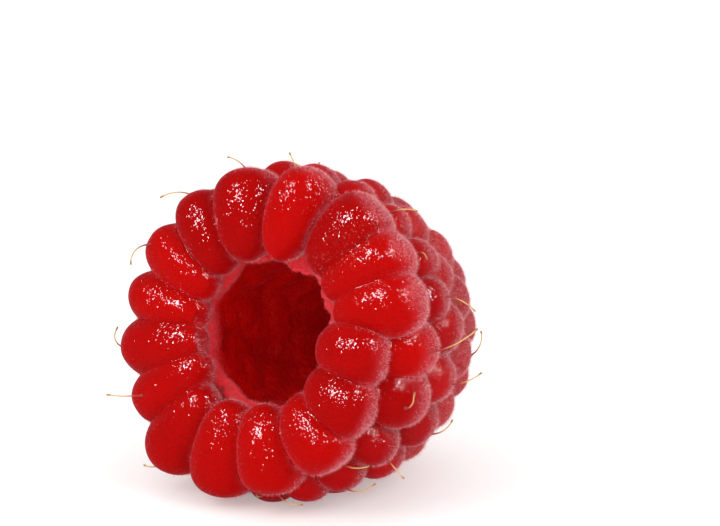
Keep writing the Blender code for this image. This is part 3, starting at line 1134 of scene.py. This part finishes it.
    def _down_and_painted_sheen_on_ends(self, local: np.ndarray, upward: np.ndarray, own: np.ndarray) -> np.ndarray:
        """How much pale down covers the outer ends of the upper rim drupelets: partly real down and
        partly painted sheen, most where the ends face up.

        Args:
            local: the skin's points in the fruit's own frame.
            upward: how far the skin faces up at each point.
            own: number of the drupelet that each point belongs to.

        Returns:
            One number for each point.
        """
        sheen_and_down = np.zeros(len(local))
        for number, drupelet in enumerate(self.plan.drupelets[0]):
            mine = own == number
            height = (local[mine] - np.array(drupelet.middle)) @ np.array(drupelet.pole)
            sheen_and_down[mine] = self.outer_ends.of(height / drupelet.half_depth)
        return sheen_and_down * self.ends_facing_up.of(upward)

    def _lay_skins(self, mesh: bpy.types.Mesh, wall: np.ndarray, own: np.ndarray) -> None:
        """Give each face the skin of the drupelet it belongs to, or that of the hollow's wall.

        Args:
            mesh: the skin's mesh.
            wall: how far each point belongs to the hollow's wall.
            own: number of the drupelet that each point belongs to.
        """
        skins = np.array([
            (Skin.FRESH if self._is_wet(drupelet) else Skin.DOWNY).value
            for drupelet in self.plan.every()
        ])
        starts = np.empty(len(mesh.polygons), dtype=np.int32)
        mesh.polygons.foreach_get("loop_start", starts)
        corners = np.empty(len(mesh.loops), dtype=np.int32)
        mesh.loops.foreach_get("vertex_index", corners)
        first = corners[starts]
        chosen = np.where(wall[first] > 0.5, Skin.WALL.value, skins[own[first]])
        mesh.polygons.foreach_set("material_index", chosen.astype(np.int32))
        mesh.update()

    def _is_wet(self, drupelet: Drupelet) -> bool:
        """Whether a drupelet has the glossy skin of the mouth side."""
        return drupelet.row == 0 or (drupelet.row, drupelet.place) in self.wet_behind_rim

    def _round_valleys(self) -> None:
        """Soften the sharp valleys between drupelets, where the skin is stretched and wet."""
        mesh = self.piece.data
        share = np.empty(len(mesh.vertices))
        mesh.attributes["valley"].data.foreach_get("value", share)
        group = self.piece.vertex_groups.new(name="valleys")
        for number in np.flatnonzero(share > 0.0):
            group.add([int(number)], float(share[number]), "REPLACE")
        step = self.piece.modifiers.new("valleys", "SMOOTH")
        step.factor = self.valley_pull
        step.iterations = self.valley_steps
        step.vertex_group = group.name
        Workbench.pick(self.piece)
        bpy.ops.object.modifier_apply(modifier=step.name)
        self.piece.vertex_groups.clear()


class Growth(Enum):
    """Parts of the fruit that a coat of down can grow on."""

    OUTSIDE = "outside"
    LIP = "lip"


@dataclass
class DownCoat:
    """Fine hairs, each a slim closed cone, thickest in the creases and at the lip."""

    skin: FruitSkin
    name: str
    finishes: tuple[DownFinish, ...]
    grows_on: Growth
    count: int = 48000
    shortest: float = 0.09 * MM
    longest: float = 0.30 * MM
    thickness: float = 0.007 * MM
    rooted: float = 0.015 * MM
    slant: tuple[float, float] = (0.1, 1.1)
    clear_of_floor: float = 0.4 * MM
    bare_below: float = 0.15
    thinning: float = 1.3
    seed: int = 5
    pieces: list[bpy.types.Object] = field(default_factory=list)

    def build(self) -> list[bpy.types.Object]:
        """Scatter the hairs over the skin by how downy it is.

        Returns:
            The finished pieces, one for each finish.
        """
        mesh = self.skin.piece.data
        mesh.calc_loop_triangles()
        corners = np.empty(len(mesh.loop_triangles) * 3, dtype=np.int32)
        mesh.loop_triangles.foreach_get("vertices", corners)
        corners = corners.reshape(-1, 3)
        points = np.empty(len(mesh.vertices) * 3)
        mesh.vertices.foreach_get("co", points)
        points = points.reshape(-1, 3)
        edge_a = points[corners[:, 1]] - points[corners[:, 0]]
        edge_b = points[corners[:, 2]] - points[corners[:, 0]]
        normals = np.cross(edge_a, edge_b)
        areas = np.maximum(np.linalg.norm(normals, axis=1), 1e-16)
        density = np.maximum(self._density(mesh)[corners].mean(axis=1) - self.bare_below, 0.0)
        weights = areas * density ** self.thinning
        for batch in range(len(self.finishes)):
            chance = np.random.default_rng(self.seed + batch)
            chosen = chance.choice(len(corners), self.count, p=weights / weights.sum())
            share_a, share_b = chance.random(self.count), chance.random(self.count)
            over = share_a + share_b > 1
            share_a[over], share_b[over] = 1 - share_a[over], 1 - share_b[over]
            roots = points[corners[chosen, 0]]
            roots = roots + edge_a[chosen] * share_a[:, None] + edge_b[chosen] * share_b[:, None]
            up = normals[chosen] / areas[chosen][:, None]
            kept = roots[:, 2] > self.clear_of_floor
            self.pieces.append(self._grow(f"{self.name}_{batch + 1}", roots[kept], up[kept], chance))
        return self.pieces

    def dress(self) -> None:
        """Give the hairs their colour and let them ride on the fruit."""
        for piece, finish in zip(self.pieces, self.finishes):
            piece.data.materials.append(finish.make())
            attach(piece, BODY)

    def _density(self, mesh: bpy.types.Mesh) -> np.ndarray:
        """How densely this coat grows at each point of the skin.

        Args:
            mesh: the skin's mesh.

        Returns:
            One number for each point, 0 where nothing grows.
        """
        down = np.empty(len(mesh.vertices))
        lip = np.empty(len(mesh.vertices))
        mesh.attributes["down"].data.foreach_get("value", down)
        mesh.attributes["lip"].data.foreach_get("value", lip)
        return lip if self.grows_on is Growth.LIP else down * (1 - lip)

    def _grow(
        self, name: str, roots: np.ndarray, up: np.ndarray, chance: np.random.Generator
    ) -> bpy.types.Object:
        """Make one mesh of many hairs.

        Args:
            name: name of the piece.
            roots: where each hair starts.
            up: the skin's outward direction there.
            chance: source of the hairs' lean and length.

        Returns:
            The hairs.
        """
        count = len(roots)
        lean = chance.normal(size=(count, 3))
        lean -= up * (lean * up).sum(axis=1)[:, None]
        lean /= np.linalg.norm(lean, axis=1)[:, None]
        across = np.cross(up, lean)
        length = chance.uniform(self.shortest, self.longest, count)[:, None]
        slant = chance.uniform(*self.slant, count)[:, None]
        heading = up + lean * slant
        heading /= np.linalg.norm(heading, axis=1)[:, None]
        start = roots - up * self.rooted
        corners = []
        for corner in range(3):
            turn = 2 * math.pi * corner / 3
            corners.append(start + (lean * math.cos(turn) + across * math.sin(turn)) * self.thickness)
        points = np.stack([*corners, start + heading * length], axis=1).reshape(-1, 3)
        pattern = np.array([(0, 2, 1), (0, 1, 3), (1, 2, 3), (2, 0, 3)])
        faces = (np.arange(count)[:, None, None] * 4 + pattern).reshape(-1, 3)
        mesh = bpy.data.meshes.new(name)
        mesh.from_pydata(points.tolist(), [], faces.tolist())
        mesh.update()
        thing = bpy.data.objects.new(name, mesh)
        bpy.context.scene.collection.objects.link(thing)
        return thing


@dataclass
class DryStyles:
    """The dry threads left from the flower, one on the end of some drupelets."""

    plan: FruitPlan
    finish: StyleFinish
    radius: float = 0.06 * MM
    steps: int = 14
    rooted: float = 0.12 * MM
    clear_of_floor: float = 0.1 * MM
    settles: float = 0.2 * MM
    first_turn: float = 0.3
    waviness: float = 0.14
    # Thickness along a thread as shares of its radius: base, taper, root's flare and end's knob.
    base: float = 0.85
    taper: float = 0.25
    flare: float = 1.5
    flare_length: float = 0.06
    knob: float = 0.7
    knob_at: float = 0.96
    knob_length: float = 0.05
    sharp_from: float = 60.0
    # Row, place in the row, foot's angle off the pole to the mouth, lean, bend and length.
    threads: tuple[tuple[int, int, float, float, float, float], ...] = (
        (0, 0, 15, 40, 75, 1.4), (0, 1, 45, 10, 25, 1.4), (0, 15, 15, 30, 95, 2.4),
        (0, 14, 60, 70, 100, 2.8), (0, 12, 30, 230, 105, 2.6), (0, 11, 75, 210, 35, 2.2),
        (0, 10, 15, 200, 65, 1.8), (0, 8, 15, 350, 95, 2.0), (1, 10, 45, 30, 75, 1.4),
        (0, 7, 0, 350, 75, 1.8), (1, 7, 0, 250, 35, 1.6), (1, 8, 15, 0, 105, 2.6),
        (1, 6, 30, 30, 65, 3.2), (2, 16, 0, 350, 105, 1.8), (1, 5, 0, 320, 65, 3.2),
        (1, 4, 0, 230, 85, 2.2), (2, 0, 0, 330, 65, 2.0), (1, 2, 30, 230, 105, 1.8),
        (1, 3, 30, 150, 55, 2.0), (3, 0, 0, 350, 115, 1.8), (3, 6, 0, 160, 65, 2.5),
        (2, 7, 0, 20, 60, 2.4), (2, 10, 0, 340, 70, 2.6), (1, 14, 0, 200, 60, 2.3),
        (3, 9, 0, 10, 60, 2.7), (3, 8, 0, 190, 75, 2.3), (4, 5, 0, 40, 60, 2.8),
        (4, 9, 0, 300, 65, 2.6), (5, 6, 0, 240, 60, 2.7), (5, 8, 0, 120, 50, 2.4),
        (6, 1, 0, 60, 65, 2.5), (6, 4, 0, 300, 60, 2.4), (7, 1, 0, 0, 70, 2.4),
        (3, 5, 0, 150, 60, 2.3), (3, 7, 0, 30, 65, 2.5), (4, 4, 0, 200, 55, 2.4),
        (4, 7, 0, 330, 70, 2.2), (5, 4, 0, 100, 60, 2.5), (5, 5, 0, 20, 65, 2.3),
    )
    pieces: list[bpy.types.Object] = field(default_factory=list)

    def build(self) -> list[bpy.types.Object]:
        """Draw every thread along its own bent path.

        Returns:
            The finished pieces.
        """
        for number, (row, place, foot, lean, bend, length) in enumerate(self.threads, start=1):
            drupelet = self.plan.drupelets[row][place]
            path = self._path(drupelet, foot, lean, bend, length * MM, number)
            self.pieces.append(self._thread(f"dry_style_{number:02d}", path))
        return self.pieces

    def dress(self) -> None:
        """Colour the threads, let them ride on the fruit and hide the solid styles."""
        material = self.finish.make()
        for number, piece in enumerate(self.pieces, start=1):
            piece.data.materials.clear()
            piece.data.materials.append(material)
            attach(piece, BODY)
            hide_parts(f"style_{number:02d}")

    def _path(
        self, drupelet: Drupelet, foot_degrees: float, lean_degrees: float, bend_degrees: float,
        length: float, salt: int,
    ) -> list[Vector]:
        """Points of one thread from under the skin to its free end.

        Args:
            drupelet: the drupelet that it stands on.
            foot_degrees: how far its foot sits off the drupelet's pole, towards the mouth.
            lean_degrees: which way it leans, round its foot.
            bend_degrees: how far it has turned at its free end.
            length: its length in metres.
            salt: number that makes its small waves its own.

        Returns:
            The points, where the fruit lies.
        """
        lean = math.radians(lean_degrees)
        bend = math.radians(bend_degrees)
        foot, up = drupelet.foot(math.radians(foot_degrees))
        aside = drupelet.side * math.cos(lean) + up.cross(drupelet.side) * math.sin(lean)
        step = (length + self.rooted) / self.steps
        point = foot - up * self.rooted
        points = []
        for number in range(self.steps + 1):
            laid = self.plan.placement @ point
            above = laid.z - self.clear_of_floor
            laid.z = self.clear_of_floor + (above + math.hypot(above, self.settles)) / 2
            points.append(laid)
            turned = bend * (self.first_turn + (1 - self.first_turn) * (number + 0.5) / self.steps)
            wave = self.waviness * noise.noise(Vector((salt * 5.3, number * 0.35, 0.0)))
            heading = up * math.cos(turned) + aside * math.sin(turned)
            heading += up.cross(aside) * wave
            point = point + heading.normalized() * step
        return points

    def _thread(self, name: str, path: list[Vector]) -> bpy.types.Object:
        """One thread: flared at its root, slim along its length, with a knob at its end.

        Args:
            name: name of the piece.
            path: its points.

        Returns:
            The thread as a closed mesh.
        """
        curve = bpy.data.curves.new(name, "CURVE")
        curve.dimensions = "3D"
        curve.bevel_depth = self.radius
        curve.bevel_resolution = 2
        curve.use_fill_caps = True
        spline = curve.splines.new("POLY")
        spline.points.add(len(path) - 1)
        for number, (spline_point, point) in enumerate(zip(spline.points, path)):
            share = number / (len(path) - 1)
            spline_point.co = (*point, 1.0)
            flare = self.flare * math.exp(-share / self.flare_length)
            knob = self.knob * math.exp(-((share - self.knob_at) / self.knob_length) ** 2)
            spline_point.radius = self.base - self.taper * share + flare + knob
        thing = bpy.data.objects.new(name, curve)
        bpy.context.scene.collection.objects.link(thing)
        Workbench.pick(thing)
        bpy.ops.object.convert(target="MESH")
        thing = bpy.context.active_object
        bpy.ops.object.mode_set(mode="EDIT")
        bpy.ops.mesh.select_all(action="SELECT")
        bpy.ops.mesh.remove_doubles(threshold=1e-7)
        bpy.ops.mesh.normals_make_consistent(inside=False)
        bpy.ops.object.mode_set(mode="OBJECT")
        spots = np.array([tuple(point) for point in path])
        values = [
            float(np.argmin(np.linalg.norm(spots - np.array(vertex.co), axis=1))) / (len(path) - 1)
            for vertex in thing.data.vertices
        ]
        Workbench.write_attribute(thing.data, "along", np.array(values))
        Workbench.finish_smooth(thing, self.sharp_from)
        return thing


@dataclass
class Studio:
    """Milky sheet, three soft boxes, two small lamps, a pale room and the camera."""

    plan: FruitPlan
    finish: SweepFinish
    view_azimuth: float = 35.2
    view_elevation: float = 13.5
    view_distance: float = 190.0 * MM
    frame_width: float = 44.44 * MM
    sensor: float = 36.0
    nearest_seen: float = 10.0 * MM
    sheet_size: float = 4.0
    # Name, azimuth, elevation, distance, size, power, and whether it only sparks.
    lamps: tuple[tuple[str, float, float, float, float, float, bool], ...] = (
        ("left_box", -20.0, 38.0, 0.30, 0.16, 0.22, False),
        ("right_box", 88.0, 38.0, 0.30, 0.16, 0.22, False),
        ("front_box", 30.0, 12.0, 0.30, 0.20, 0.20, False),
        ("left_spark", -14.0, 38.0, 0.30, 0.085, 0.8, True),
        ("right_spark", 86.0, 38.0, 0.30, 0.085, 0.8, True),
    )
    lamps_aim_at: float = 10.0 * MM
    room_light: float = 0.95
    room_mirrored: float = 0.05
    room_seen: float = 0.97
    # Where the mouth's middle is along the axis, and how far right of and above it the camera aims.
    mouth_at: float = 2.3 * MM
    aim_right: float = 6.1 * MM
    aim_up: float = 4.3 * MM

    def build(self) -> None:
        """Set out the sheet, the lights, the surroundings and the camera."""
        self._sweep()
        self._lights()
        self._surroundings()
        self._camera()

    def _directions(self, azimuth: float, elevation: float) -> tuple[Vector, Vector, Vector]:
        """Directions back to a viewer, to the viewer's right and up.

        Args:
            azimuth: angle round the fruit in degrees, 0 in front of the mouth.
            elevation: angle above the floor in degrees.

        Returns:
            Back, right and up.
        """
        turn, lift = math.radians(azimuth), math.radians(elevation)
        back = Vector((
            math.sin(turn) * math.cos(lift), -math.cos(turn) * math.cos(lift), math.sin(lift)))
        right = Vector((math.cos(turn), math.sin(turn), 0.0))
        return back, right, back.cross(right)

    def _sweep(self) -> None:
        """A wide sheet of milky plastic under the fruit."""
        bpy.ops.object.select_all(action="DESELECT")
        bpy.ops.mesh.primitive_plane_add(size=self.sheet_size, location=(0.0, 0.0, 0.0))
        sweep = bpy.context.active_object
        sweep.name = "paper_sweep"
        sweep.data.materials.append(self.finish.make())

    def _lights(self) -> None:
        """Soft boxes that light the fruit, and two small lamps that only spark in its skin."""
        for name, azimuth, elevation, distance, size, power, sparks in self.lamps:
            back, _, _ = self._directions(azimuth, elevation)
            light = bpy.data.lights.new(name, "AREA")
            light.shape = "SQUARE"
            light.size = size
            light.energy = power
            lamp = bpy.data.objects.new(name, light)
            lamp.location = Vector((0.0, 0.0, self.lamps_aim_at)) + back * distance
            lamp.rotation_euler = back.to_track_quat("Z", "Y").to_euler()
            lamp.visible_diffuse = not sparks
            lamp.visible_glossy = sparks
            lamp.visible_camera = False
            bpy.context.scene.collection.objects.link(lamp)

    def _surroundings(self) -> None:
        """A pale room that lights the fruit all round, but hardly mirrors in its skin."""
        world = bpy.data.worlds.new("pale_room")
        world.use_nodes = True
        tree = world.node_tree
        ray = add_node(tree, "ShaderNodeLightPath")
        mirrored = add_node(tree, "ShaderNodeMapRange", inputs={
            "Value": ray.outputs["Is Glossy Ray"],
            "To Min": self.room_light,
            "To Max": self.room_mirrored,
        })
        seen = add_node(tree, "ShaderNodeMapRange", inputs={
            "Value": ray.outputs["Is Camera Ray"],
            "To Min": mirrored.outputs["Result"],
            "To Max": self.room_seen,
        })
        backdrop = tree.nodes["Background"]
        backdrop.inputs["Color"].default_value = linear("#FFFFFF")
        tree.links.new(seen.outputs["Result"], backdrop.inputs["Strength"])
        bpy.context.scene.world = world
        bpy.context.scene.view_settings.view_transform = "Standard"

    def _camera(self) -> None:
        """A long close-up lens, level with the upper half of the mouth."""
        back, right, up = self._directions(self.view_azimuth, self.view_elevation)
        mouth = self.plan.placement @ Vector((0.0, self.mouth_at, 0.0))
        aim = mouth + right * self.aim_right + up * self.aim_up
        lens = bpy.data.cameras.new("close_up")
        lens.sensor_width = self.sensor
        lens.lens = self.sensor * self.view_distance / self.frame_width
        lens.clip_start = self.nearest_seen
        camera = bpy.data.objects.new("close_up", lens)
        camera.location = aim + back * self.view_distance
        camera.rotation_mode = "QUATERNION"
        camera.rotation_quaternion = (-back).to_track_quat("-Z", "Y")
        bpy.context.scene.collection.objects.link(camera)
        bpy.context.scene.camera = camera


# --------------------------------------------------------------------------
# This fruit's own finishes
# --------------------------------------------------------------------------

# Wet skin of the mouth side: the eye gets a bright gloss that breaks into sparks, and a faint painted
# glow under the thickest down.
FRESH_SKIN = SkinFinish(
    name="fresh_drupelet_skin", ripe="#B20604", deep="#9A0404", down="#E0606E",
    gloss=0.05, dull=0.4, sheen=0.4, glow=0.35, paleness=0.34, painted_glow_downy=0.08,
)
# Dry skin towards the tail: the eye gets dusky red velvet with a soft, dull gloss.
DOWNY_SKIN = SkinFinish(
    name="downy_drupelet_skin", ripe="#B20A0C", deep="#9C0608", down="#DC7480",
    gloss=0.09, dull=0.5, sheen=0.45, glow=0.3, paleness=0.2,
)
# Moist flesh where the core came away: the eye gets deep red with a faint painted glow for daylight
# through it, and a pink torn edge with a stronger painted glow.
HOLLOW_SKIN = SkinFinish(
    name="hollow_skin", ripe="#B80402", deep="#A40202", down="#D8404E",
    gloss=0.3, dull=0.6, sheen=0.1, glow=0.4, paleness=0.6, painted_glow_bare=0.035, painted_glow_downy=0.5,
    facet_tilt=0.35, swell_depth=0.2,
)
# Down in three tints: the eye gets a pale haze in the creases and at the outline.
OUTER_DOWN = (
    DownFinish("pale_down", "#F6C6C8"),
    DownFinish("pink_down", "#EC9AA2"),
    DownFinish("rosy_down", "#DC6470"),
)
# Fibres of the torn lip and the rim's folds: the eye gets a soft pink edge round the hollow.
LIP_DOWN = (DownFinish("lip_down", "#E04A58"),)


def main() -> None:
    """Build and dress every piece, and report each one."""
    logging.basicConfig(level=logging.INFO, format="%(name)s: %(message)s")
    plan = FruitPlan()
    studio = Studio(plan, SweepFinish())
    studio.build()
    skin = FruitSkin(plan, (FRESH_SKIN, DOWNY_SKIN, HOLLOW_SKIN))
    piece = skin.build()
    skin.dress()
    log.info("%s: %d faces", piece.name, len(piece.data.polygons))
    coats = (
        DownCoat(skin, "outer_down", OUTER_DOWN, Growth.OUTSIDE),
        DownCoat(skin, "lip_down", LIP_DOWN, Growth.LIP, count=42000),
    )
    for coat in coats:
        for piece in coat.build():
            log.info("%s: %d faces", piece.name, len(piece.data.polygons))
        coat.dress()
    styles = DryStyles(plan, StyleFinish())
    threads = styles.build()
    log.info("%d dry styles of up to %d faces", len(threads),
             max(len(piece.data.polygons) for piece in threads))
    styles.dress()


if __name__ == "__main__":
    main()
